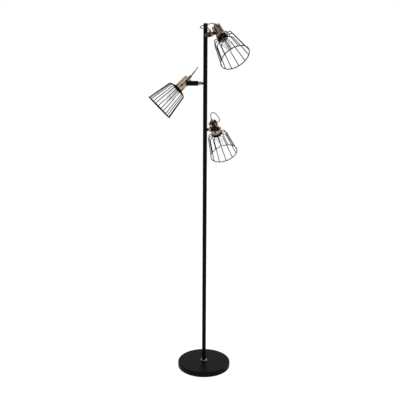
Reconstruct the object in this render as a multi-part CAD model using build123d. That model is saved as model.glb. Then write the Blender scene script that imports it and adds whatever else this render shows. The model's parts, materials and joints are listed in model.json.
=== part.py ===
from build123d import *
from math import asin, atan2, cos, hypot, pi, radians, sin, tan
import os

os.makedirs("parts", exist_ok=True)

# All sizes in millimetres and degrees. Origin: centre of the base's underside, +Z up the pole.

# Base
base_diameter = 250
base_height = 24
base_edge_radius = 5
base_wall = 1.5
pad_thickness = 2
pad_inset = 7  # pad edge inside the cover's edge
foot_ring_diameter = 30
foot_ring_height = 5
stud_radius = 5
stud_wall = 1.5
stud_reach = 30  # how far the stud stands up into the pole
nut_across = 24
nut_height = 5
nut_pocket_radius = 16
cord_bush_radius = 5
cord_bush_wall = 1.6
cord_bush_flange = 1.5

# Pole
lamp_height = 1600
pole_diameter = 19
pole_wall = 1.2
pole_sections = 3
insert_length = 50
insert_bore_radius = 4
cap_thickness = 2.5
cap_plug_length = 8
supply_lead_radius = 3

# Arms, measured along each arm from the pole's axis
neck_radius = 5
neck_bore_radius = 3
neck_start = 6.5
neck_end = 42
lock_nut_start = 16
lock_nut_length = 8
collar_length = 8.3
ring_radius = 7.5  # lock nut and swivel collar
ring_chamfer = 0.9
stem_radius = 6  # collar and knuckle stems inside the arm
stem_length = 10
arm_radius = 10.8
arm_length = 52
arm_chamfer = 1
arm_bore_radius = 4

# Knuckle and pivot
pivot_past_arm = 7.5  # pivot axis beyond the arm's end
lug_radius = 9
lug_thickness = 6
pivot_bolt_radius = 3
bolt_head_radius = 6
bolt_head_height = 3
bolt_grip = 6  # thread inside the hub
hub_radius = 7

# Arm gland and its lead
gland_station = 10.5  # where the gland stands on the arm, back from the arm's end
gland_lean = 20
gland_radius = 5
gland_height = 8.5  # above the arm's surface
gland_seat = 3  # depth of the gland's foot in the arm
lead_diameter = 3.6
lead_entry = 3  # lead inside each gland

# Head, measured along the sleeve's axis from the pivot's station, forwards
sleeve_radius = 20
sleeve_wall = 1.1
sleeve_rear = -30
sleeve_front = 31
sleeve_gap = 1.5  # between the arm and the sleeve
slot_count = 6
slot_width = 6
slot_band = 11  # unslotted band at the sleeve's front
tongue_corner = 4
holder_radius = 16.5
holder_rear = -28
holder_wall = 2.9
flange_radius = 21
flange_thickness = 3.6
skirt_length = 10
skirt_radius = 17
skirt_wall = 1.4
cage_plate_thickness = 1.5
cage_plate_lip = 1.8  # the plate's edge beyond the shade ring
rear_gland_radius = 6.5
rear_gland_tip_radius = 4
rear_gland_end = 17  # beyond the sleeve's rear end

# Cage
wire_count = 12
wire_diameter = 3.8
rim_wire_diameter = 4.2
rim_radius = 65
cage_depth = 119  # plate to rim
shoulder_radius = 44
shoulder_depth = 8
shoulder_bend = 11
wire_sides = 8
lead_sides = 6

# Bulb
screw_cap_radius = 13.2
screw_cap_length = 27
contact_radius = 5
contact_length = 2.5
glass_wall = 0.9
glass_neck_radius = 13
glass_neck_length = 15
glass_shoulder_radius = 14.8
glass_belly = 40  # widest place, from the cap
glass_belly_radius = 20
glass_tip_radius = 10
glass_length = 84
glass_stem_radius = 4
glass_stem_length = 26
filament_radius = 0.7
filament_spread = 6
filament_reach = 64
filament_legs = 4

# Fits
fit = 0.05  # pressed or threaded together
running = 0.08  # shafts that turn
clear = 0.3  # curved faces that pass each other

# The three heads as they stand: rank down the pole, bearing from +X, side the sleeve is on, swivel,
# tilt, and the turn of the sleeve's first slot about its axis
top_arm_drop = 51  # top arm's axis below the pole's top
arm_spacing = 204
heads = {
    "top": dict(rank=0, bearing=-73, side=1, swivel=18, tilt=48.4, slot=50),
    "middle": dict(rank=1, bearing=186, side=-1, swivel=2, tilt=44.1, slot=-86),
    "bottom": dict(rank=2, bearing=43.6, side=1, swivel=8, tilt=57.5, slot=139),
}

# Worked out from the sizes above
base_radius = base_diameter / 2
top_arm_height = lamp_height - top_arm_drop
pole_radius = pole_diameter / 2
pole_bore = pole_radius - pole_wall
section_length = (lamp_height - cap_thickness - base_height) / pole_sections
collar_start = lock_nut_start + lock_nut_length + fit
arm_start = collar_start + collar_length
arm_end = arm_start + arm_length
pivot_reach = arm_end + pivot_past_arm
sleeve_offset = arm_radius + sleeve_gap + sleeve_radius
sleeve_bore = sleeve_radius - sleeve_wall
plate_start = sleeve_front + flange_thickness + fit
ring_start = plate_start + cage_plate_thickness + fit
holder_front = plate_start + skirt_length
plate_radius = flange_radius + cage_plate_lip
bore_front = holder_radius - holder_wall
gland_tip = (
    arm_end - gland_station - gland_height * tan(radians(gland_lean)),
    arm_radius + gland_height,
)
rear_tip = sleeve_rear - rear_gland_end
lead_room = lead_entry + clear
bulb_start = sleeve_front - 1 - screw_cap_length
glass_start = bulb_start + screw_cap_length


def turned(*outline):
    """A solid turned about X from an outline of (station, radius) points."""
    return revolve(make_face(Polyline(*outline, close=True)), Axis.X)


def rod(start, end, radius):
    """A round bar along X."""
    return turned((start, 0), (end, 0), (end, radius), (start, radius))


def ring(start, end, bore, radius, chamfer_size=0):
    """A round ring along X with its outer edges chamfered."""
    c = chamfer_size
    outline = [(start, bore), (end, bore), (end, radius - c), (end - c, radius)]
    outline += [(start + c, radius), (start, radius - c)] if c else [(start, radius)]
    return turned(*(outline if c else [outline[0], outline[1], (end, radius), outline[-1]]))


def upright(shape):
    """A shape turned about X, stood up along Z."""
    return Rot(0, -90, 0) * shape


def bent_bar(points, radii, radius, sides):
    """A bar of many-sided section along straight runs joined by tangent arcs."""
    path = FilletPolyline(*points, radius=radii)
    section = Plane(origin=path @ 0, z_dir=path % 0) * RegularPolygon(radius, sides)
    return sweep(section, path=path)


def arm_place(head):
    """From an arm's own frame, X outwards along the arm, to the lamp's frame."""
    height = top_arm_height - head["rank"] * arm_spacing
    return Pos(0, 0, height) * Rot(0, 0, head["bearing"]) * Rot(head["side"] * head["swivel"], 0, 0)


def head_place(head):
    """From a head's own frame, X forwards along the sleeve, to the lamp's frame."""
    return arm_place(head) * Pos(pivot_reach, head["side"] * sleeve_offset, 0) * Rot(0, head["tilt"], 0)


# Base and foot


def base_cover():
    height = base_height - pad_thickness / 2
    outer = Pos(0, 0, base_height - height / 2) * Cylinder(base_radius, height)
    outer = fillet(outer.edges().group_by(Axis.Z)[-1], base_edge_radius)
    inner_radius = base_radius - base_wall
    inner = Pos(0, 0, base_height - base_wall - height / 2) * Cylinder(inner_radius, height)
    inner = chamfer(inner.edges().group_by(Axis.Z)[-1], base_edge_radius - base_wall)
    bush_hole = Pos(0, base_radius, bush_height) * Rot(90, 0, 0) * Cylinder(cord_bush_radius + fit, 20)
    return outer - inner - Cylinder(stud_radius + fit, 3 * base_height) - bush_hole


def base_weight():
    bottom, top = pad_thickness, base_height - base_wall
    radius = base_radius - base_wall - clear
    block = Pos(0, 0, (bottom + top) / 2) * Cylinder(radius, top - bottom)
    block = chamfer(block.edges().group_by(Axis.Z)[-1], base_edge_radius)
    pocket = Pos(0, 0, bottom) * Cylinder(nut_pocket_radius, 2 * (nut_height + nut_gap))
    way = 2 * (cord_bush_radius + cord_bush_flange)
    groove = Pos(0, base_radius / 2, bottom) * Box(way, base_radius, 2 * (bush_height + way / 2 - bottom))
    return block - pocket - groove - Cylinder(stud_radius + fit, 3 * base_height)


def base_pad():
    pad = Pos(0, 0, pad_thickness / 2) * Cylinder(base_radius - pad_inset, pad_thickness)
    return pad - Cylinder(nut_pocket_radius, 3 * pad_thickness)


def base_nut():
    nut = extrude(Pos(0, 0, nut_bottom) * RegularPolygon(nut_across / 2, 6, major_radius=False), nut_height)
    return nut - Cylinder(stud_radius + fit, 3 * base_height)


def cord_bush():
    bore = cord_bush_radius - cord_bush_wall
    inner_face = base_radius - base_wall
    body = ring(inner_face - 4, base_radius + cord_bush_flange, bore, cord_bush_radius)
    flange = cord_bush_radius + cord_bush_flange
    collar = ring(base_radius + fit, base_radius + cord_bush_flange, bore, flange)
    return Pos(0, 0, bush_height) * Rot(0, 0, 90) * (body + collar)


nut_gap = 2
nut_bottom = pad_thickness + nut_gap
bush_height = pad_thickness + cord_bush_radius + cord_bush_flange + 1

parts = {
    "base_cover": base_cover(),
    "base_weight": base_weight(),
    "base_pad": base_pad(),
    "base_nut": base_nut(),
    "base_stud": upright(ring(nut_bottom, base_height + stud_reach, stud_radius - stud_wall, stud_radius)),
    "cord_bush": cord_bush(),
    "foot_ring": upright(
        ring(base_height, base_height + foot_ring_height, pole_radius + fit, foot_ring_diameter / 2, 1)
    ),
}

# Pole

neck_holes = [
    arm_place(head) * rod(0, 2 * pole_radius, neck_radius + fit) for head in heads.values()
]
for number, name in zip(range(pole_sections), ("pole_lower", "pole_middle", "pole_upper")):
    foot = base_height + number * section_length
    parts[name] = upright(ring(foot, foot + section_length, pole_bore, pole_radius)) - neck_holes

inserts = [
    upright(ring(joint - insert_length / 2, joint + insert_length / 2, insert_bore_radius, pole_bore - fit))
    for joint in (base_height + n * section_length for n in range(1, pole_sections))
]
foot_insert = upright(ring(base_height, base_height + stud_reach, stud_radius + fit, pole_bore - fit))
parts["pole_inserts"] = Compound(children=[foot_insert, *inserts])
cap_foot = lamp_height - cap_thickness
cap_chamfer = cap_thickness / 3
parts["pole_cap"] = upright(
    turned(
        (cap_foot - cap_plug_length, 0),
        (lamp_height, 0),
        (lamp_height, pole_radius - cap_chamfer),
        (lamp_height - cap_chamfer, pole_radius),
        (cap_foot, pole_radius),
        (cap_foot, pole_bore - fit),
        (cap_foot - cap_plug_length, pole_bore - fit),
    )
)
parts["pole_lead"] = upright(rod(nut_bottom, top_arm_height + neck_radius, supply_lead_radius))

# Necks and lock nuts that carry the arms

neck = ring(neck_start, neck_end, neck_bore_radius, neck_radius)
lock_nut_end = lock_nut_start + lock_nut_length
lock_nut = ring(lock_nut_start, lock_nut_end, neck_radius + fit, ring_radius, ring_chamfer)
parts["arm_necks"] = Compound(children=[arm_place(head) * neck for head in heads.values()])
parts["lock_nuts"] = Compound(children=[arm_place(head) * lock_nut for head in heads.values()])


# Arm pieces, in the arm's frame


def swivel_collar():
    flange = ring(collar_start, arm_start, neck_radius + running, ring_radius, ring_chamfer)
    stem = ring(collar_start + ring_chamfer, arm_start + stem_length, neck_radius + running, stem_radius)
    return flange + stem


def gland_direction():
    return Pos(arm_end - gland_station, 0, arm_radius) * Rot(0, -gland_lean, 0)


def arm():
    body = ring(arm_start, arm_end, arm_bore_radius, arm_radius, arm_chamfer)
    socket = rod(arm_start, arm_start + stem_length + clear, stem_radius + fit)
    front_socket = rod(arm_end - stem_length - clear, arm_end, stem_radius + fit)
    foot = gland_direction() * Cylinder(gland_radius + fit, 2 * gland_seat)
    return body - socket - front_socket - foot


def arm_gland():
    top = gland_height / cos(radians(gland_lean))
    shape = ring(-gland_seat + fit, top, 0, gland_radius, 1)
    return gland_direction() * upright(shape - rod(top - lead_room, top + 1, lead_diameter / 2 + clear))


def knuckle():
    lug = Pos(arm_end + pivot_past_arm / 2, 0, 0) * Box(pivot_past_arm, lug_thickness, 2 * lug_radius)
    eye = Pos(pivot_reach, 0, 0) * Rot(90, 0, 0) * Cylinder(lug_radius, lug_thickness)
    hole = Pos(pivot_reach, 0, 0) * Rot(90, 0, 0) * Cylinder(pivot_bolt_radius + running, 2 * lug_thickness)
    return lug + eye + rod(arm_end - stem_length, arm_end, stem_radius) - hole


# Head pieces, in the head's frame; the pivot lies towards -side on Y


def across(side, near, far, radius):
    """A round bar on the pivot axis between two distances from the sleeve's axis."""
    return Pos(0, -side * (near + far) / 2, 0) * Rot(90, 0, 0) * Cylinder(radius, abs(far - near))


def pivot_hub(side):
    face = sleeve_offset - lug_thickness / 2 - running
    hub = across(side, sleeve_radius / 2, face, hub_radius)
    hub -= rod(-sleeve_radius, sleeve_radius, sleeve_radius + fit)
    return hub - across(side, face - bolt_grip - clear, face, pivot_bolt_radius + fit)


def pivot_bolt(side):
    face = sleeve_offset + lug_thickness / 2 + running
    tip = sleeve_offset - lug_thickness / 2 - running - bolt_grip
    head = across(side, face, face + bolt_head_height, bolt_head_radius)
    head = chamfer(head.edges().sort_by(Axis.Y)[0 if side > 0 else -1], bolt_head_height / 3)
    return head + across(side, tip, face, pivot_bolt_radius)


def sleeve(first_slot):
    tube = ring(sleeve_rear, sleeve_front, sleeve_bore, sleeve_radius)
    slot_end = sleeve_front - slot_band - slot_width / 2
    straight = Pos((sleeve_rear + slot_end) / 2, 0) * Rectangle(slot_end - sleeve_rear, slot_width)
    end = Pos(slot_end, 0) * Circle(slot_width / 2)
    corner_side = slot_width / 2 + tongue_corner
    flare = Pos(sleeve_rear + tongue_corner / 2, 0) * Rectangle(tongue_corner, 2 * corner_side)
    for y in (-corner_side, corner_side):
        flare -= Pos(sleeve_rear + tongue_corner, y) * Circle(tongue_corner)
    cut = extrude(straight + end + flare, 2 * sleeve_radius)
    for number in range(slot_count):
        tube -= Rot(first_slot + number * 360 / slot_count, 0, 0) * cut
    return tube


def lampholder():
    return turned(
        (holder_rear, 0),
        (holder_rear, holder_radius - holder_wall),
        (holder_rear + holder_wall, holder_radius),
        (sleeve_front - flange_thickness, holder_radius),
        (sleeve_front - flange_thickness, sleeve_bore - clear),
        (sleeve_front + fit, sleeve_bore - clear),
        (sleeve_front + fit, flange_radius),
        (plate_start - fit, flange_radius),
        (plate_start - fit, skirt_radius),
        (holder_front, skirt_radius),
        (holder_front, skirt_radius - skirt_wall),
        (sleeve_front - flange_thickness, skirt_radius - skirt_wall),
        (sleeve_front - flange_thickness, bore_front),
        (bulb_start - contact_length - fit, bore_front),
        (bulb_start - contact_length - fit, 0),
    )


def cage():
    middle = plate_start + cage_plate_thickness / 2
    plate = ring(plate_start, plate_start + cage_plate_thickness, skirt_radius + clear, plate_radius)
    rim_at = middle + cage_depth
    corner = middle + shoulder_depth
    wire_radius, rim_wire = wire_diameter / 2, rim_wire_diameter / 2
    foot = plate_radius - cage_plate_lip / 2
    path = [(middle, foot), (corner, shoulder_radius), (rim_at, rim_radius - wire_radius / 2)]
    wire = bent_bar(path, [shoulder_bend], wire_radius, wire_sides)
    wires = [Rot(15 + number * 360 / wire_count, 0, 0) * wire for number in range(wire_count)]
    rim = revolve(Pos(rim_at, rim_radius) * RegularPolygon(rim_wire, wire_sides), Axis.X)
    return plate + rim + wires


def shade_ring():
    return ring(ring_start, holder_front, skirt_radius + fit, flange_radius, 1)


def bulb_glass():
    """The envelope: neck, belly and rounded tip, thin walled and open where the screw cap closes it."""

    def envelope(inset):
        neck, shoulder, belly, tip = (
            radius - inset
            for radius in (glass_neck_radius, glass_shoulder_radius, glass_belly_radius, glass_tip_radius)
        )
        centre, tip_centre = glass_start + glass_belly, glass_start + glass_length - glass_tip_radius
        shoulder_start = glass_start + glass_neck_length
        run = centre - shoulder_start
        flare = asin(belly / hypot(run, shoulder)) - atan2(shoulder, run)
        taper = asin((belly - tip) / (tip_centre - centre))

        def on_ball(station, radius, angle):
            return (station + radius * sin(angle), radius * cos(angle))

        belly_start, belly_end = on_ball(centre, belly, -flare), on_ball(centre, belly, taper)
        tip_start, end = on_ball(tip_centre, tip, taper), (tip_centre + tip, 0)
        outline = [
            Polyline((glass_start, neck), (shoulder_start, shoulder), belly_start),
            ThreePointArc(belly_start, on_ball(centre, belly, (taper - flare) / 2), belly_end),
            Line(belly_end, tip_start),
            ThreePointArc(tip_start, on_ball(tip_centre, tip, (taper + pi / 2) / 2), end),
            Polyline(end, (glass_start, 0), (glass_start, neck)),
        ]
        return revolve(make_face(outline), Axis.X)

    return envelope(0) - envelope(glass_wall)


def bulb_core():
    """Screw cap with its contact, glass stem and the filament's legs."""
    cap = turned(
        (bulb_start - contact_length, 0),
        (bulb_start - contact_length, contact_radius),
        (bulb_start, screw_cap_radius - contact_length),
        (bulb_start, screw_cap_radius),
        (glass_start - fit, screw_cap_radius),
        (glass_start - fit, glass_stem_radius),
        (glass_start + glass_stem_length, glass_stem_radius / 2),
        (glass_start + glass_stem_length, 0),
    )
    leg_start = glass_start + glass_stem_length - 2
    leg_end = (glass_start + filament_reach, filament_spread / 2)
    leg = bent_bar([(leg_start, 0.5), (leg_start + 8, filament_spread), leg_end], [6], filament_radius, 4)
    return cap + [Rot(number * 360 / filament_legs, 0, 0) * leg for number in range(filament_legs)]


def rear_gland():
    seat = holder_rear - fit
    body = turned(
        (rear_tip, 0),
        (rear_tip, rear_gland_tip_radius),
        (rear_tip + 5, rear_gland_radius),
        (seat, rear_gland_radius),
        (seat, 0),
    )
    return body - rod(rear_tip - 1, rear_tip + lead_room, lead_diameter / 2 + clear)


# Lead loops: points from the head's rear gland to the arm's gland, in the arm's frame as
# (along the arm, towards the sleeve's side, up), between the straight ends in the two glands
loops = {
    "top": [(44, 13, 41), (34, -3, 42), (29, -14, 43.5), (34, -26, 40.5), (46, -23, 33), (57, -9, 31.5)],
    "middle": [(40, 31.5, 56), (32.5, 24, 67.5), (31, 12, 71), (36, 1, 66), (45.5, -5, 54), (57, -5, 41)],
    "bottom": [(56, 31, 62), (55, 22, 72), (57, 9, 74), (61, -4, 65), (68.5, -13, 53), (73, -17, 40)],
}
lead_runout = {"top": (8, 9), "middle": (13, 9), "bottom": (13, 11)}  # straight beyond each gland


def lead(name, head):
    """The flexible lead from the rear gland back to the arm's gland, in the arm's frame."""
    side, turn, lean = head["side"], radians(head["tilt"]), radians(gland_lean)
    back = Vector(-cos(turn), 0, sin(turn))
    out = Vector(-sin(lean), 0, cos(lean))
    rear = Vector(pivot_reach, side * sleeve_offset, 0) - rear_tip * back
    front = Vector(gland_tip[0], 0, gland_tip[1])
    rear_run, front_run = lead_runout[name]
    route = [rear - lead_entry * back, rear + rear_run * back]
    route += [Vector(x, side * y, z) for x, y, z in loops[name]]
    route += [front + front_run * out, front - lead_entry * out]
    radii = []
    for before, at, after in zip(route, route[1:], route[2:]):
        half = radians((at - before).get_angle(after - at)) / 2
        radii.append(0.45 * min((at - before).length, (after - at).length) / tan(half))
    tube = bent_bar(route, radii, lead_diameter / 2, lead_sides)
    runs = [(b - a).length for a, b in zip(route, route[1:])]
    print(name, "lead: radii", [round(r, 1) for r in radii], "runs", [round(r, 1) for r in runs])
    length = FilletPolyline(*route, radius=radii).length
    print(name, "lead volume", round(tube.volume, 1), "length", round(length, 1))
    return tube


for name, head in heads.items():
    at_arm, at_head, side = arm_place(head), head_place(head), head["side"]
    for piece, solid in {
        "swivel_collar": swivel_collar(),
        "arm": arm(),
        "arm_gland": arm_gland(),
        "knuckle": knuckle(),
        "lead": lead(name, head),
    }.items():
        parts[f"{name}_{piece}"] = at_arm * solid
    for piece, solid in {
        "pivot_hub": pivot_hub(side),
        "pivot_bolt": pivot_bolt(side),
        "sleeve": sleeve(head["slot"]),
        "lampholder": lampholder(),
        "shade_ring": shade_ring(),
        "cage": cage(),
        "bulb_glass": bulb_glass(),
        "bulb_core": bulb_core(),
        "rear_gland": rear_gland(),
    }.items():
        parts[f"{name}_{piece}"] = at_head * solid

for name, shape in parts.items():
    export_step(shape, f"parts/{name}.step")
print(len(parts), "nodes")
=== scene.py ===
import bpy
import bmesh
import json
from math import cos, pi, radians, sin
from mathutils import Matrix, Vector

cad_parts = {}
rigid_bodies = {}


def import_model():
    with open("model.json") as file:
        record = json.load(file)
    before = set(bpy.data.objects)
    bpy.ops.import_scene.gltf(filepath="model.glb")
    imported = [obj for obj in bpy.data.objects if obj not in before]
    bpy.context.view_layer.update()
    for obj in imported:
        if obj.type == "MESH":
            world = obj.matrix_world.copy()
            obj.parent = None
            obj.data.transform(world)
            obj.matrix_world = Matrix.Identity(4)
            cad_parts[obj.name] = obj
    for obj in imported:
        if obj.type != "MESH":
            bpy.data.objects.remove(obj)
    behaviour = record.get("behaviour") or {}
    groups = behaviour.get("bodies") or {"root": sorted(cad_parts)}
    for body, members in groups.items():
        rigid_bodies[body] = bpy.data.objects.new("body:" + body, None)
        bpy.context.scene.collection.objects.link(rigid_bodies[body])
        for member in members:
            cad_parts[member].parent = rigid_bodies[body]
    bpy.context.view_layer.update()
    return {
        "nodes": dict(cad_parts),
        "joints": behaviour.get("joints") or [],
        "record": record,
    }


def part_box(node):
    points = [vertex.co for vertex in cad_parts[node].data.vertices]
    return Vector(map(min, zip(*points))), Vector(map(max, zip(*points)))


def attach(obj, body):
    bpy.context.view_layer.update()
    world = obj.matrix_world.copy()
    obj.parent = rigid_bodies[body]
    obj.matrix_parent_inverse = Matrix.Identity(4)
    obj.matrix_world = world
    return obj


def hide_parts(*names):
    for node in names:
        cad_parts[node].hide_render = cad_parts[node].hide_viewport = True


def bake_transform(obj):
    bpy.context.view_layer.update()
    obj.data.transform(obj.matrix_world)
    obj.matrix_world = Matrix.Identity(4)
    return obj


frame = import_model()
scene = bpy.context.scene
mm = 0.001
print("stage: frame loaded,", len(frame["nodes"]), "nodes")

# camera, at the photograph's viewpoint
photoCamera = {
    "place": (-0.0215, -2.60, 1.345),
    "lookDown": 11.43,  # degrees below level
    "roll": 0.2,
    "lens": 51.93,
    "sensor": 36.0,
    "clip": (0.05, 60),
}


def addCamera(spec):
    data = bpy.data.cameras.new("photoCamera")
    data.lens, data.sensor_width = spec["lens"], spec["sensor"]
    data.clip_start, data.clip_end = spec["clip"]
    camera = bpy.data.objects.new("photoCamera", data)
    pitch = Matrix.Rotation(radians(90 - spec["lookDown"]), 4, "X")
    roll = Matrix.Rotation(radians(spec["roll"]), 4, "Z")
    camera.matrix_world = Matrix.Translation(spec["place"]) @ pitch @ roll
    scene.collection.objects.link(camera)
    scene.camera = camera


addCamera(photoCamera)

# arms and heads: each arm points along X from the pole's axis, each head along X from its sleeve's middle
headSizes = {
    "pivotReach": 91.85 * mm,  # pivot from the pole's axis
    "sleeveOffset": 32.3 * mm,  # sleeve's axis from the arm's
    "rearTip": -47 * mm,  # end of the rear gland
}
headNames = ("top", "middle", "bottom")


# where an arm and its head stand, read from the frame's joints
def readHead(name):
    joints = {joint["name"]: joint for joint in frame["joints"]}
    swivel, tilt = joints[f"{name}_arm_swivel"], joints[f"{name}_head_tilt"]
    along, across, pivot = (Vector(v) for v in (swivel["axis"], tilt["axis"], tilt["pos_m"]))
    up = along.cross(across)
    low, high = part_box(f"{name}_sleeve")
    side = 1 if ((low + high) / 2 - pivot).dot(across) > 0 else -1
    nod = radians(90 - tilt["range_deg"][1])
    forward = along * cos(nod) - up * sin(nod)
    armFrame = Matrix((along, across, up)).transposed().to_4x4()
    headFrame = Matrix((forward, across, forward.cross(across))).transposed().to_4x4()
    armFrame.translation = pivot - along * headSizes["pivotReach"]
    headFrame.translation = pivot + across * side * headSizes["sleeveOffset"]
    return {"arm": armFrame, "head": headFrame, "side": side, "nod": nod}


places = {name: readHead(name) for name in headNames}


# one node of any tree: its type, its settings, then the values or links of its sockets
def addNode(tree, kind, settings=None, inputs=None):
    node = tree.nodes.new(kind)
    for key, value in (settings or {}).items():
        setattr(node, key, value)
    for key, value in (inputs or {}).items():
        for one in value if isinstance(value, list) else [value]:
            one = one.socket if isinstance(one, Amount) else one
            if isinstance(one, bpy.types.NodeSocket):
                tree.links.new(one, node.inputs[key])
            else:
                node.inputs[key].default_value = one
    return node


# shader writing
class Amount:  # one value socket; sums written with it add Math nodes
    def __init__(self, paint, socket):
        self.paint, self.socket = paint, socket

    def join(self, operation, *others):
        node = self.paint.node("ShaderNodeMath", {"operation": operation}, dict(enumerate(others)))
        return Amount(self.paint, node.outputs[0])

    def __add__(self, other):
        return self.join("ADD", self, other)

    def __sub__(self, other):
        return self.join("SUBTRACT", self, other)

    def __rsub__(self, other):
        return self.join("SUBTRACT", other, self)

    def __mul__(self, other):
        return self.join("MULTIPLY", self, other)

    __radd__, __rmul__ = __add__, __mul__

    def clamped(self):
        return self.join("MINIMUM", self.join("MAXIMUM", self, 0.0), 1.0)


class Paint:
    def __init__(self, name):
        self.material = bpy.data.materials.new(name)
        self.material.use_nodes = True
        self.tree = self.material.node_tree
        self.tree.nodes.clear()
        self.out = self.node("ShaderNodeOutputMaterial")
        self.place = self.node("ShaderNodeTexCoord").outputs["Object"]

    def node(self, kind, settings=None, inputs=None):
        return addNode(self.tree, kind, settings, inputs)

    def noise(self, size, detail, rough=0.55):
        inputs = {"Vector": self.place, "Scale": 1 / size, "Detail": detail, "Roughness": rough}
        return Amount(self, self.node("ShaderNodeTexNoise", None, inputs).outputs[0])

    def band(self, amount, low, high):
        settings = {"interpolation_type": "SMOOTHSTEP"}
        inputs = {"Value": amount, "From Min": low, "From Max": high}
        return Amount(self, self.node("ShaderNodeMapRange", settings, inputs).outputs[0])

    def blend(self, amount, colourA, colourB):
        def whole(colour):
            return (*colour, 1) if isinstance(colour, tuple) else colour

        inputs = {0: amount, 6: whole(colourA), 7: whole(colourB)}
        return self.node("ShaderNodeMix", {"data_type": "RGBA"}, inputs).outputs[2]

    def bump(self, height, depth, strength):
        inputs = {"Height": height, "Distance": depth, "Strength": strength}
        return self.node("ShaderNodeBump", None, inputs).outputs[0]

    def finish(self, **inputs):
        names = {key.replace("_", " "): value for key, value in inputs.items()}
        shader = self.node("ShaderNodeBsdfPrincipled", None, names)
        self.tree.links.new(shader.outputs[0], self.out.inputs[0])
        return self.material


def srgb(code):
    parts = [int(code[i : i + 2], 16) / 255 for i in (0, 2, 4)]
    return tuple(c / 12.92 if c <= 0.04045 else ((c + 0.055) / 1.055) ** 2.4 for c in parts)


# black powder coat on the base, pole and arms, with faint dust and orange peel
powderCoat = {
    "face": (0.0024, 0.0022, 0.0030),
    "worn": (0.0042, 0.0039, 0.0052),
    "cloudSize": 38 * mm,
    "dustSize": 7 * mm,
    "dustBand": (0.6, 0.82),
    "dustShare": 0.15,
    "dustTone": 1.5,  # times the worn colour
    "rough": 0.32,
    "cloudRough": 0.12,
    "dustRough": 0.06,
    "peelSize": 0.9 * mm,
    "peelDepth": 0.02 * mm,
    "peelStrength": 0.1,
    "shine": 0.03,
}

# the same coat on the cages' wires, finer and blacker
wireCoat = {
    **powderCoat,
    "face": (0.0016, 0.0016, 0.0019),
    "worn": (0.0028, 0.0027, 0.0032),
    "peelSize": 0.5 * mm,
    "peelDepth": 0.01 * mm,
}


def blackCoat(name, look):
    paint = Paint(name)
    cloud = paint.noise(look["cloudSize"], 4)
    peel = paint.noise(look["peelSize"], 2)
    dust = paint.band(paint.noise(look["dustSize"], 5), *look["dustBand"])
    coat = paint.blend(cloud, look["face"], look["worn"])
    dusty = tuple(part * look["dustTone"] for part in look["worn"])
    return paint.finish(
        Base_Color=paint.blend(dust * look["dustShare"], coat, dusty),
        Roughness=(cloud * look["cloudRough"] + look["rough"] + dust * look["dustRough"]).clamped(),
        Normal=paint.bump(peel, look["peelDepth"], look["peelStrength"]),
        Specular_IOR_Level=look["shine"],
    )


# antique brass: brushed, with a brown patina and small dark spots
brass = {
    "light": srgb("b3a28b"),
    "patina": srgb("7d6c57"),
    "spot": srgb("5c4a37"),
    "patinaSize": 15 * mm,
    "patinaBand": (0.36, 0.68),
    "spotSize": 1.8 * mm,
    "spotBand": (0.56, 0.76),
    "spotShare": 0.3,
    "brushSize": 0.5 * mm,
    "brushDepth": 0.015 * mm,
    "rough": 0.25,
    "patinaRough": 0.16,
    "brushRough": 0.08,
    "spotRough": 0.1,
}


def antiqueBrass(look):
    paint = Paint("antiqueBrass")
    patina = paint.noise(look["patinaSize"], 5, 0.6)
    spot = paint.band(paint.noise(look["spotSize"], 4), *look["spotBand"])
    brushed = paint.noise(look["brushSize"], 2)
    tone = paint.blend(paint.band(patina, *look["patinaBand"]), look["light"], look["patina"])
    rough = patina * look["patinaRough"] + brushed * look["brushRough"] + look["rough"]
    rough = rough + spot * look["spotRough"]
    return paint.finish(
        Base_Color=paint.blend(spot * look["spotShare"], tone, look["spot"]),
        Metallic=(1.0 - spot * 0.1).clamped(),
        Roughness=rough.clamped(),
        Normal=paint.bump(brushed, look["brushDepth"], 0.3),
    )


# lampholders and shade rings: black moulding with a fine grain
moulding = {
    "dark": (0.0022, 0.0022, 0.0026),
    "light": (0.0044, 0.0042, 0.0048),
    "cloudSize": 16 * mm,
    "grainSize": 0.7 * mm,
    "grainDepth": 0.02 * mm,
    "rough": 0.38,
    "grainRough": 0.12,
    "shine": 0.08,
}


def mouldedBlack(look):
    paint = Paint("mouldedBlack")
    grain = paint.noise(look["grainSize"], 3)
    cloud = paint.noise(look["cloudSize"], 3)
    return paint.finish(
        Base_Color=paint.blend(cloud, look["dark"], look["light"]),
        Roughness=(grain * look["grainRough"] + look["rough"]).clamped(),
        Normal=paint.bump(grain, look["grainDepth"], 0.3),
        Specular_IOR_Level=look["shine"],
    )


# flexible sheath of the leads
leadSheath = {
    "dark": (0.004, 0.004, 0.0045),
    "light": (0.008, 0.0078, 0.009),
    "cloudSize": 9 * mm,
    "skinSize": 1.2 * mm,
    "skinDepth": 0.02 * mm,
    "rough": 0.38,
    "cloudRough": 0.2,
    "shine": 0.16,
}


def sheath(look):
    paint = Paint("leadSheath")
    cloud = paint.noise(look["cloudSize"], 3)
    return paint.finish(
        Base_Color=paint.blend(cloud, look["dark"], look["light"]),
        Roughness=(cloud * look["cloudRough"] + look["rough"]).clamped(),
        Normal=paint.bump(paint.noise(look["skinSize"], 2), look["skinDepth"], 0.3),
        Specular_IOR_Level=look["shine"],
    )


# bulbs: clear glass, its base colour given a faint lavender cast that is a painted reflection
bulbGlass = {
    "paintedReflectionTint": (0.86, 0.84, 0.90),
    "clear": (0.91, 0.89, 0.94),
    "filmSize": 20 * mm,
    "filmRough": 0.03,
    "bending": 1.46,  # index of refraction
}


def clearGlass(look):
    paint = Paint("clearGlass")
    film = paint.noise(look["filmSize"], 3)
    return paint.finish(
        # both colours carry the lavender cast, which is painted reflection
        Base_Color=paint.blend(film, look["paintedReflectionTint"], look["clear"]),
        Roughness=(film * look["filmRough"]).clamped(),
        IOR=look["bending"],
        Transmission_Weight=1.0,
    )


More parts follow.
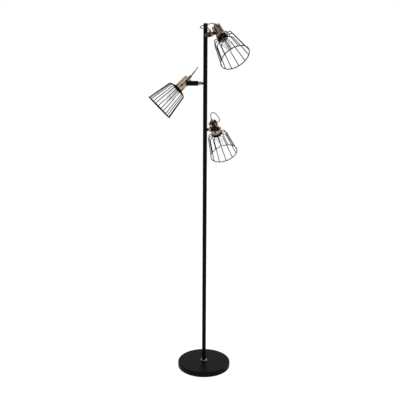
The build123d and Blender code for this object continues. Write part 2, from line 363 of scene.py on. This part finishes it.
# small bare metal parts
bareMetal = {"cloudSize": 6 * mm, "cloudRough": 0.2, "grainSize": 0.6 * mm, "grainDepth": 0.02 * mm}
nickel = {**bareMetal, "light": (0.66, 0.64, 0.60), "dark": (0.48, 0.46, 0.43), "rough": 0.22}
zinc = {**bareMetal, "light": (0.56, 0.56, 0.57), "dark": (0.40, 0.40, 0.41), "rough": 0.3}
filamentMetal = {**bareMetal, "light": (0.30, 0.28, 0.26), "dark": (0.18, 0.17, 0.16), "rough": 0.35}


def plainMetal(name, look):
    paint = Paint(name)
    cloud = paint.noise(look["cloudSize"], 4)
    return paint.finish(
        Base_Color=paint.blend(cloud, look["light"], look["dark"]),
        Metallic=1.0,
        Roughness=(cloud * look["cloudRough"] + look["rough"]).clamped(),
        Normal=paint.bump(paint.noise(look["grainSize"], 2), look["grainDepth"], 0.3),
    )


# the weight inside the base: raw casting with patches of rust
casting = {
    "iron": (0.06, 0.058, 0.056),
    "rust": (0.12, 0.06, 0.035),
    "rustSize": 22 * mm,
    "rustBand": (0.5, 0.72),
    "rustShare": 0.6,
    "grainSize": 1.4 * mm,
    "grainDepth": 0.2 * mm,
    "rough": 0.5,
}


def rawIron(look):
    paint = Paint("rawIron")
    grain = paint.noise(look["grainSize"], 5)
    rust = paint.band(paint.noise(look["rustSize"], 5), *look["rustBand"])
    return paint.finish(
        Base_Color=paint.blend(rust * look["rustShare"], look["iron"], look["rust"]),
        Metallic=(0.7 - rust * 0.5).clamped(),
        Roughness=(grain * 0.25 + look["rough"]).clamped(),
        Normal=paint.bump(grain, look["grainDepth"], 0.7),
    )


# anti-slip pad under the base
padRubber = {
    "dark": (0.016, 0.016, 0.017),
    "light": (0.036, 0.036, 0.037),
    "grainSize": 1.1 * mm,
    "grainDepth": 0.12 * mm,
    "rough": 0.72,
}


def mattPad(look):
    paint = Paint("mattPad")
    grain = paint.noise(look["grainSize"], 4)
    return paint.finish(
        Base_Color=paint.blend(grain, look["dark"], look["light"]),
        Roughness=(grain * 0.2 + look["rough"]).clamped(),
        Normal=paint.bump(grain, look["grainDepth"], 0.6),
    )


finishes = {
    "black_paint": blackCoat("blackPowderCoat", powderCoat),
    "black_wire": blackCoat("blackWire", wireCoat),
    "antique_brass": antiqueBrass(brass),
    "black_plastic": mouldedBlack(moulding),
    "lead_sheath": sheath(leadSheath),
    "clear_glass": clearGlass(bulbGlass),
    "bulb_metal": plainMetal("capNickel", nickel),
    "zinc_steel": plainMetal("zincSteel", zinc),
    "cast_iron": rawIron(casting),
    "pad": mattPad(padRubber),
}
tungsten = plainMetal("tungsten", filamentMetal)
slots = {part["node"]: part["material_slot"] for part in frame["record"]["subparts"]}
for node, piece in frame["nodes"].items():
    piece.data.materials.clear()
    piece.data.materials.append(finishes[slots[node]])
print("stage: finishes on every node")


# geometry trees
class Plan:  # a node tree for a modifier, with named inputs
    def __init__(self, name, sizes):
        self.tree = bpy.data.node_groups.new(name, "GeometryNodeTree")
        self.ids, self.sizes = {}, sizes
        ports = self.tree.interface
        for key, value in sizes.items():
            kind = "NodeSocketInt" if isinstance(value, int) else "NodeSocketFloat"
            self.ids[key] = ports.new_socket(key, in_out="INPUT", socket_type=kind).identifier
        ports.new_socket("Geometry", in_out="OUTPUT", socket_type="NodeSocketGeometry")
        self.source = self.tree.nodes.new("NodeGroupInput")
        self.sink = self.tree.nodes.new("NodeGroupOutput")

    def size(self, key):
        return self.source.outputs[key]

    def out(self, kind, settings=None, inputs=None):
        return addNode(self.tree, kind, settings, inputs).outputs[0]

    def math(self, operation, *values):
        return self.out("ShaderNodeMath", {"operation": operation}, dict(enumerate(values)))

    def point(self, x=0.0, y=0.0, z=0.0):
        return self.out("ShaderNodeCombineXYZ", None, {"X": x, "Y": y, "Z": z})

    def circle(self, radius, steps):
        return self.out("GeometryNodeCurvePrimitiveCircle", None, {"Resolution": steps, "Radius": radius})

    def block(self, wide, high):
        return self.out("GeometryNodeCurvePrimitiveQuadrilateral", None, {"Width": wide, "Height": high})

    def line(self, start, end):
        return self.out("GeometryNodeCurvePrimitiveLine", None, {"Start": start, "End": end})

    def rounded(self, curve, radius, steps):
        inputs = {"Curve": curve, "Radius": radius, "Count": steps, "Limit Radius": True}
        return self.out("GeometryNodeFilletCurve", {"mode": "POLY"}, inputs)

    def swept(self, curve, profile, capped):
        inputs = {"Curve": curve, "Profile Curve": profile, "Fill Caps": capped}
        return self.out("GeometryNodeCurveToMesh", None, inputs)

    # copies of a shape turned about X
    def around(self, shape, count, first=0.0):
        spots = self.out("GeometryNodePoints", None, {"Count": count})
        step = self.math("DIVIDE", 2 * pi, count)
        angle = self.math("MULTIPLY_ADD", self.out("GeometryNodeInputIndex"), step, first)
        inputs = {"Points": spots, "Instance": shape, "Rotation": self.point(angle)}
        return self.out("GeometryNodeInstanceOnPoints", None, inputs)

    # a profile carried round the X axis
    def ringOf(self, profile, radius, at, steps):
        stand = {
            "Geometry": self.circle(radius, steps),
            "Translation": self.point(at),
            "Rotation": (0, pi / 2, 0),
        }
        return self.swept(self.out("GeometryNodeTransform", None, stand), profile, False)

    def close(self, material, parts):
        joined = self.out("GeometryNodeJoinGeometry", None, {"Geometry": parts})
        real = self.out("GeometryNodeRealizeInstances", None, {"Geometry": joined})
        smooth = self.out("GeometryNodeSetShadeSmooth", None, {0: real})
        done = self.out("GeometryNodeSetMaterial", None, {"Geometry": smooth, "Material": material})
        self.tree.links.new(done, self.sink.inputs[0])
        return self

    # one plain mesh of this tree, with the modifier removed
    def made(self, name, material, **changes):
        holder = bpy.data.objects.new("holder", bpy.data.meshes.new("holder"))
        scene.collection.objects.link(holder)
        modifier = holder.modifiers.new("plan", "NODES")
        modifier.node_group = self.tree
        for key, value in {**self.sizes, **changes}.items():
            modifier[self.ids[key]] = value
        mesh = plainMesh(holder)
        mesh.name = name
        mesh.materials.clear()
        mesh.materials.append(material)
        return mesh


# the evaluated mesh of an object that is then deleted
def plainMesh(holder):
    bpy.context.view_layer.update()
    depsgraph = bpy.context.evaluated_depsgraph_get()
    mesh = bpy.data.meshes.new_from_object(holder.evaluated_get(depsgraph), depsgraph=depsgraph)
    bpy.data.objects.remove(holder)
    return mesh


def placePiece(name, mesh, place, body, replaced):
    mesh = mesh.copy()
    mesh.transform(place)
    piece = bpy.data.objects.new(name, mesh)
    scene.collection.objects.link(piece)
    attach(piece, body)
    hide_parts(replaced)


# wire cage: bent wires welded to a mounting plate and a rim
wireCage = {
    "wireCount": 12,
    "wireRadius": 1.9 * mm,
    "wireSides": 14,
    "plateAt": 35.4 * mm,
    "plateThick": 1.5 * mm,
    "plateBore": 17.3 * mm,
    "plateRadius": 22.8 * mm,
    "plateEdge": 0.35 * mm,
    "plateSteps": 72,
    "footRadius": 21.9 * mm,  # where the wires start on the plate
    "shoulderDepth": 8 * mm,
    "shoulderRadius": 44 * mm,
    "bendRadius": 11 * mm,
    "bendSteps": 9,
    "cageDepth": 119 * mm,
    "rimRadius": 65 * mm,
    "rimWireRadius": 2.1 * mm,
    "rimSteps": 112,
    "firstWire": 0.0,
}
firstWires = {"top": radians(21), "middle": radians(27), "bottom": radians(7)}  # about each head's axis


def cagePlan(sizes):
    plan = Plan("wireCagePlan", sizes)
    size, point, math = plan.size, plan.point, plan.math

    # one wire: a line of three points, from the plate over the shoulder to the rim
    rimAt = math("ADD", size("plateAt"), size("cageDepth"))
    start = point(size("plateAt"), 0.0, size("footRadius"))
    corner = point(math("ADD", size("plateAt"), size("shoulderDepth")), 0.0, size("shoulderRadius"))
    end = point(rimAt, 0.0, math("MULTIPLY_ADD", size("wireRadius"), -0.5, size("rimRadius")))
    straight = {"Curve": plan.line(start, corner), "Count": 3}
    line = plan.out("GeometryNodeResampleCurve", None, straight)
    index = plan.out("GeometryNodeInputIndex")
    equals = {"data_type": "INT", "operation": "EQUAL"}
    isFirst = plan.out("FunctionNodeCompare", equals, {2: index, 3: 0})
    isLast = plan.out("FunctionNodeCompare", equals, {2: index, 3: 2})
    pick = {"input_type": "VECTOR"}
    spot = plan.out("GeometryNodeSwitch", pick, {"Switch": isLast, "False": corner, "True": end})
    spot = plan.out("GeometryNodeSwitch", pick, {"Switch": isFirst, "False": spot, "True": start})
    bent = plan.out("GeometryNodeSetPosition", None, {"Geometry": line, "Position": spot})
    bent = plan.rounded(bent, size("bendRadius"), size("bendSteps"))
    wire = plan.swept(bent, plan.circle(size("wireRadius"), size("wireSides")), True)
    wires = plan.around(wire, size("wireCount"), size("firstWire"))

    rimSection = plan.circle(size("rimWireRadius"), size("wireSides"))
    rim = plan.ringOf(rimSection, size("rimRadius"), rimAt, size("rimSteps"))

    wide = math("SUBTRACT", size("plateRadius"), size("plateBore"))
    middle = math("MULTIPLY", math("ADD", size("plateRadius"), size("plateBore")), 0.5)
    flat = plan.rounded(plan.block(wide, size("plateThick")), size("plateEdge"), 2)
    plate = plan.ringOf(flat, middle, size("plateAt"), size("plateSteps"))
    return plan.close(finishes["black_wire"], [wires, rim, plate])


cages = cagePlan(wireCage)
for name in headNames:
    place, body = places[name]["head"], f"{name}_head"
    mesh = cages.made("cage", finishes["black_wire"], firstWire=firstWires[name])
    placePiece(f"{name}_wire_cage", mesh, place, body, f"{name}_cage")
print("stage: cages,", len(mesh.polygons), "faces each")

# shade ring: ribbed nut that clamps the cage on the lampholder's skirt
shadeRing = {
    "start": 36.2 * mm,
    "end": 44.65 * mm,
    "bore": 17.05 * mm,
    "radius": 20.4 * mm,
    "edge": 0.7 * mm,
    "edgeSteps": 3,
    "ringSteps": 80,
    "ribCount": 40,
    "ribRadius": 0.75 * mm,
    "ribSides": 8,
    "ribMargin": 0.9 * mm,  # from each end of the ring
    "ribSunk": 0.15 * mm,
}


def shadeRingPlan(sizes):
    plan = Plan("shadeRingPlan", sizes)
    size, math = plan.size, plan.math
    long = math("SUBTRACT", size("end"), size("start"))
    deep = math("SUBTRACT", size("radius"), size("bore"))
    section = plan.rounded(plan.block(deep, long), size("edge"), size("edgeSteps"))
    middle = math("MULTIPLY", math("ADD", size("radius"), size("bore")), 0.5)
    at = math("MULTIPLY", math("ADD", size("start"), size("end")), 0.5)
    body = plan.ringOf(section, middle, at, size("ringSteps"))
    ribAxis = math("SUBTRACT", size("radius"), size("ribSunk"))
    low = plan.point(math("ADD", size("start"), size("ribMargin")), 0.0, ribAxis)
    high = plan.point(math("SUBTRACT", size("end"), size("ribMargin")), 0.0, ribAxis)
    rib = plan.swept(plan.line(low, high), plan.circle(size("ribRadius"), size("ribSides")), True)
    ribs = plan.around(rib, size("ribCount"))
    return plan.close(finishes["black_plastic"], [body, ribs])


ringMesh = shadeRingPlan(shadeRing).made("shadeRing", finishes["black_plastic"])
for name in headNames:
    place, body = places[name]["head"], f"{name}_head"
    placePiece(f"{name}_ribbed_ring", ringMesh, place, body, f"{name}_shade_ring")
print("stage: shade rings")


# a round tube carried along points without twisting, closed at both ends
def tubeAlong(points, radius, sides):
    bm = bmesh.new()
    ahead = (points[1] - points[0]).normalized()
    side = ahead.orthogonal().normalized()
    rings = []
    for number, point in enumerate(points):
        before, after = points[max(number - 1, 0)], points[min(number + 1, len(points) - 1)]
        turned = (after - before).normalized()
        side = (side - turned * side.dot(turned)).normalized()
        other = turned.cross(side)
        angles = [2 * pi * k / sides for k in range(sides)]
        rings.append([bm.verts.new(point + radius * (side * cos(a) + other * sin(a))) for a in angles])
    for low, high in zip(rings, rings[1:]):
        for k in range(sides):
            bm.faces.new((low[k], low[(k + 1) % sides], high[(k + 1) % sides], high[k])).smooth = True
    bm.faces.new(rings[0][::-1])
    bm.faces.new(rings[-1])
    mesh = bpy.data.meshes.new("tube")
    bm.to_mesh(mesh)
    bm.free()
    return mesh


# an outline of (along, radius) points turned about X
def turnedMesh(name, outline, sides):
    bm = bmesh.new()
    rings = []
    for along, radius in outline:
        if radius == 0:
            rings.append([bm.verts.new((along, 0, 0))])
            continue
        angles = [2 * pi * k / sides for k in range(sides)]
        rings.append([bm.verts.new((along, radius * cos(a), radius * sin(a))) for a in angles])
    for low, high in zip(rings, rings[1:]):
        for k in range(sides):
            corners = [low[k % len(low)], low[(k + 1) % len(low)]]
            corners += [high[(k + 1) % len(high)], high[k % len(high)]]
            bm.faces.new(list(dict.fromkeys(corners))).smooth = True
    mesh = bpy.data.meshes.new(name)
    bmesh.ops.recalc_face_normals(bm, faces=bm.faces)
    bm.to_mesh(mesh)
    bm.free()
    return mesh


def joinedMesh(name, meshes):
    bm = bmesh.new()
    for mesh in meshes:
        bm.from_mesh(mesh)
    joined = bpy.data.meshes.new(name)
    bm.to_mesh(joined)
    bm.free()
    return joined


# screw cap of a bulb, along the head's axis
bulbCap = {
    "start": 3 * mm,
    "end": 29.95 * mm,
    "radius": 13.2 * mm,
    "contactRadius": 5 * mm,
    "contactLength": 2.5 * mm,
    "neckRadius": 10.7 * mm,
    "shoulder": (1.5 * mm, 1.6 * mm),  # along and outwards from the neck
    "threadFrom": 9 * mm,
    "threadTo": 26 * mm,
    "threadPitch": 3.4 * mm,
    "threadDepth": 0.7 * mm,
    "threadSteps": 40,
    "lipLength": 1 * mm,
    "lipDrops": (0.3 * mm, 0.5 * mm),
    "sides": 48,
}


def capMesh(spec):
    start, end, radius, neck = (spec[key] for key in ("start", "end", "radius", "neckRadius"))
    shoulderAt, shoulderOut = spec["shoulder"]
    contactAt, root = start - spec["contactLength"], radius - spec["threadDepth"]
    outline = [(contactAt, 0), (contactAt, spec["contactRadius"]), (start, neck)]
    outline += [(start + shoulderAt, neck + shoulderOut), (spec["threadFrom"], root)]
    for step in range(spec["threadSteps"] + 1):
        along = (spec["threadTo"] - spec["threadFrom"]) * step / spec["threadSteps"]
        wave = 0.5 + 0.5 * cos(2 * pi * along / spec["threadPitch"] + pi)
        outline.append((spec["threadFrom"] + along, root + spec["threadDepth"] * wave))
    near, far = spec["lipDrops"]
    outline += [(end - spec["lipLength"], radius - near), (end, radius - far), (end, 0)]
    return turnedMesh("bulbCap", outline, spec["sides"])


# glass stem that holds the filament, narrowing towards its end
bulbStem = {
    "start": bulbCap["end"],
    "end": 56 * mm,
    "foot": [(0, 8 * mm), (3 * mm, 5.2 * mm), (8 * mm, 4 * mm)],  # from the start: along, radius
    "tip": [(9 * mm, 3 * mm), (1 * mm, 2.2 * mm), (0, 1.2 * mm)],  # back from the end: along, radius
    "sides": 28,
}


def stemMesh(spec):
    start, end = spec["start"], spec["end"]
    outline = [(start, 0)] + [(start + along, radius) for along, radius in spec["foot"]]
    outline += [(end - along, radius) for along, radius in spec["tip"]] + [(end, 0)]
    return turnedMesh("bulbStem", outline, spec["sides"])


# filament in zigzags between two rings of support wires
bulbFilament = {
    "supports": 8,
    "from": 54 * mm,
    "foldAt": 3 * mm,
    "foldRadius": 1.2 * mm,
    "hoopsAt": (63 * mm, 92 * mm),
    "hoopRadii": (6 * mm, 3.6 * mm),
    "supportWire": 0.35 * mm,
    "wire": 0.22 * mm,
    "sides": 6,
}


def filamentMesh(spec):
    (lowAt, highAt), (lowRadius, highRadius) = spec["hoopsAt"], spec["hoopRadii"]
    sides = spec["sides"]

    def spot(along, radius, number):
        angle = 2 * pi * number / spec["supports"]
        return Vector((along, radius * cos(angle), radius * sin(angle)))

    foot, top = Vector((spec["from"], 0, 0)), Vector((highAt, 0, 0))
    tubes, zigzag = [], []
    for number in range(0, spec["supports"], 2):
        fold = spot(spec["from"] + spec["foldAt"], spec["foldRadius"], number)
        tubes.append(tubeAlong([foot, fold, spot(lowAt, lowRadius, number)], spec["supportWire"], sides))
    tubes.append(tubeAlong([foot, top], spec["supportWire"], sides))
    for number in range(1, spec["supports"], 2):
        tubes.append(tubeAlong([top, spot(highAt, highRadius, number)], spec["supportWire"], sides))
    for number in range(0, spec["supports"], 2):
        zigzag += [spot(lowAt, lowRadius, number), spot(highAt, highRadius, number + 1)]
    tubes.append(tubeAlong(zigzag, spec["wire"], sides))
    return joinedMesh("filament", tubes)


insides = {  # mesh, material and slot of each piece inside a bulb
    "bulb_cap": (capMesh(bulbCap), finishes["bulb_metal"], "bulb_metal"),
    "bulb_stem": (stemMesh(bulbStem), finishes["clear_glass"], "clear_glass"),
    "filament": (filamentMesh(bulbFilament), tungsten, "bulb_metal"),
}
for mesh, material, slot in insides.values():
    mesh.materials.append(material)
for name in headNames:
    place, body = places[name]["head"], f"{name}_head"
    for piece, (mesh, material, slot) in insides.items():
        placePiece(f"{name}_{piece}", mesh, place, body, f"{name}_bulb_core")
print("stage: bulb insides")

# lead loops from each head's rear gland round to its arm's gland
leadLoop = {
    "diameter": 3.6 * mm,
    "sides": 14,
    "splineOrder": 3,
    "splineSteps": 10,  # between two points of the route
    "entry": 3 * mm,  # inside each gland
    "armGland": (70.756 * mm, 19.3 * mm),  # along and above the arm
    "armGlandLean": radians(20),
    "routes": {  # along the arm, towards the sleeve, up, in millimetres
        "top": [(44, 13, 41), (34, -3, 42), (29, -14, 43.5), (34, -26, 40.5), (46, -23, 33), (57, -9, 31.5)],
        "middle": [(40, 31.5, 56), (32.5, 24, 67.5), (31, 12, 71), (36, 1, 66), (45.5, -5, 54), (57, -5, 41)],
        "bottom": [(56, 31, 62), (55, 22, 72), (57, 9, 74), (61, -4, 65), (68.5, -13, 53), (73, -17, 40)],
    },
    "runout": {"top": (8, 9), "middle": (13, 9), "bottom": (13, 11)},  # straight beyond each gland
    "pathLength": {"top": 0.131, "middle": 0.135, "bottom": 0.131},
}


# the lead's own line: one NURBS spline on the points of its route
def leadSpline(name, spec):
    place = places[name]
    side, nod, lean = place["side"], place["nod"], spec["armGlandLean"]
    back = Vector((-cos(nod), 0, sin(nod)))
    out = Vector((-sin(lean), 0, cos(lean)))
    sleeve = Vector((headSizes["pivotReach"], side * headSizes["sleeveOffset"], 0))
    rear = sleeve - headSizes["rearTip"] * back
    front = Vector((spec["armGland"][0], 0, spec["armGland"][1]))
    rearRun, frontRun = spec["runout"][name]
    route = [rear - spec["entry"] * back, rear + rearRun * mm * back]
    route += [Vector((x, side * y, z)) * mm for x, y, z in spec["routes"][name]]
    route += [front + frontRun * mm * out, front - spec["entry"] * out]
    curve = bpy.data.curves.new(f"{name}_leadLine", "CURVE")
    curve.dimensions, curve.resolution_u = "3D", spec["splineSteps"]
    spline = curve.splines.new("NURBS")
    spline.points.add(len(route) - 1)
    for point, spot in zip(spline.points, route):
        point.co = (*(place["arm"] @ spot), 1)
    spline.order_u, spline.use_endpoint_u = spec["splineOrder"], True
    holder = bpy.data.objects.new("leadLine", curve)
    scene.collection.objects.link(holder)
    return [vertex.co.copy() for vertex in plainMesh(holder).vertices]


for name in headNames:
    points = leadSpline(name, leadLoop)
    mesh = tubeAlong(points, leadLoop["diameter"] / 2, leadLoop["sides"])
    mesh.materials.append(finishes["lead_sheath"])
    piece = bpy.data.objects.new(f"{name}_lead_loop", mesh)
    scene.collection.objects.link(piece)
    length = sum((b - a).length for a, b in zip(points, points[1:]))
    place = places[name]
    pivot = place["arm"] @ Vector((headSizes["pivotReach"], 0, 0))
    sleeve = pivot + place["arm"].to_3x3().col[1] * place["side"] * headSizes["sleeveOffset"]
    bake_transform(piece)
    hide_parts(f"{name}_lead")
    print("stage: lead loop", name, round(length, 4))

# studio: white floor and surround, soft lamps
studio = {
    "floorSize": 14.0,
    "floorTone": 0.5,
    "floorGlow": 0.75,
    "floorRough": 0.9,
    "ambient": 0.62,
    "shown": 1.0,  # white behind the object, also through glass
    "roomFrom": -0.55,  # mirrored room: dark towards -Y, white towards +Y
    "roomTo": 0.45,
    "roomDark": 0.05,
    "lamps": [  # name, place, aimed at, size, power
        ("key", (-1.7, -2.4, 2.7), (0, 0, 1.1), 1.8, 26),
        ("rim", (2.1, 0.9, 1.9), (0, 0, 1.1), 1.2, 24),
        ("fill", (1.6, -2.6, 1.0), (0, 0, 0.8), 1.6, 12),
    ],
}


def addSurround(spec):
    world = bpy.data.worlds.new("surround")
    scene.world = world
    world.use_nodes = True
    tree = world.node_tree
    tree.nodes.clear()

    def out(kind, settings, inputs, name=0):
        return addNode(tree, kind, settings, inputs).outputs[name]

    def white(strength):
        return out("ShaderNodeBackground", None, {"Color": (1, 1, 1, 1), "Strength": strength})

    path = addNode(tree, "ShaderNodeLightPath").outputs
    direction = addNode(tree, "ShaderNodeTexCoord").outputs["Generated"]
    depth = out("ShaderNodeSeparateXYZ", None, {0: direction}, "Y")
    ranges = {"From Min": spec["roomFrom"], "From Max": spec["roomTo"], "To Min": spec["roomDark"]}
    room = out("ShaderNodeMapRange", {"interpolation_type": "SMOOTHSTEP"}, {"Value": depth, **ranges})
    direct = {0: path["Is Camera Ray"], 1: path["Is Transmission Ray"]}
    seen = out("ShaderNodeMath", {"operation": "MAXIMUM"}, direct)
    parts = {0: path["Is Glossy Ray"], 1: white(spec["ambient"]), 2: white(room)}
    lighting = out("ShaderNodeMixShader", None, parts)
    mixed = out("ShaderNodeMixShader", None, {0: seen, 1: lighting, 2: white(spec["shown"])})
    addNode(tree, "ShaderNodeOutputWorld", None, {0: mixed})


def addFloor(spec):
    half = spec["floorSize"] / 2
    corners = [(-half, -half, 0), (half, -half, 0), (half, half, 0), (-half, half, 0)]
    mesh = bpy.data.meshes.new("floor")
    mesh.from_pydata(corners, [], [(0, 1, 2, 3)])
    floor = bpy.data.objects.new("floor", mesh)
    scene.collection.objects.link(floor)
    white = Paint("whiteFloor").finish(
        Base_Color=(spec["floorTone"],) * 3 + (1,),
        Roughness=spec["floorRough"],
        Specular_IOR_Level=0.0,
        Emission_Color=(1, 1, 1, 1),
        Emission_Strength=spec["floorGlow"],
    )
    mesh.materials.append(white)


def addLamps(spec):
    for name, place, aim, size, power in spec["lamps"]:
        data = bpy.data.lights.new(name, "AREA")
        data.size, data.energy = size, power
        lamp = bpy.data.objects.new(name, data)
        lamp.location = place
        lamp.rotation_euler = (Vector(aim) - Vector(place)).to_track_quat("-Z", "Y").to_euler()
        scene.collection.objects.link(lamp)


addSurround(studio)
addFloor(studio)
addLamps(studio)
scene.view_settings.view_transform = "Standard"
print("stage: studio")
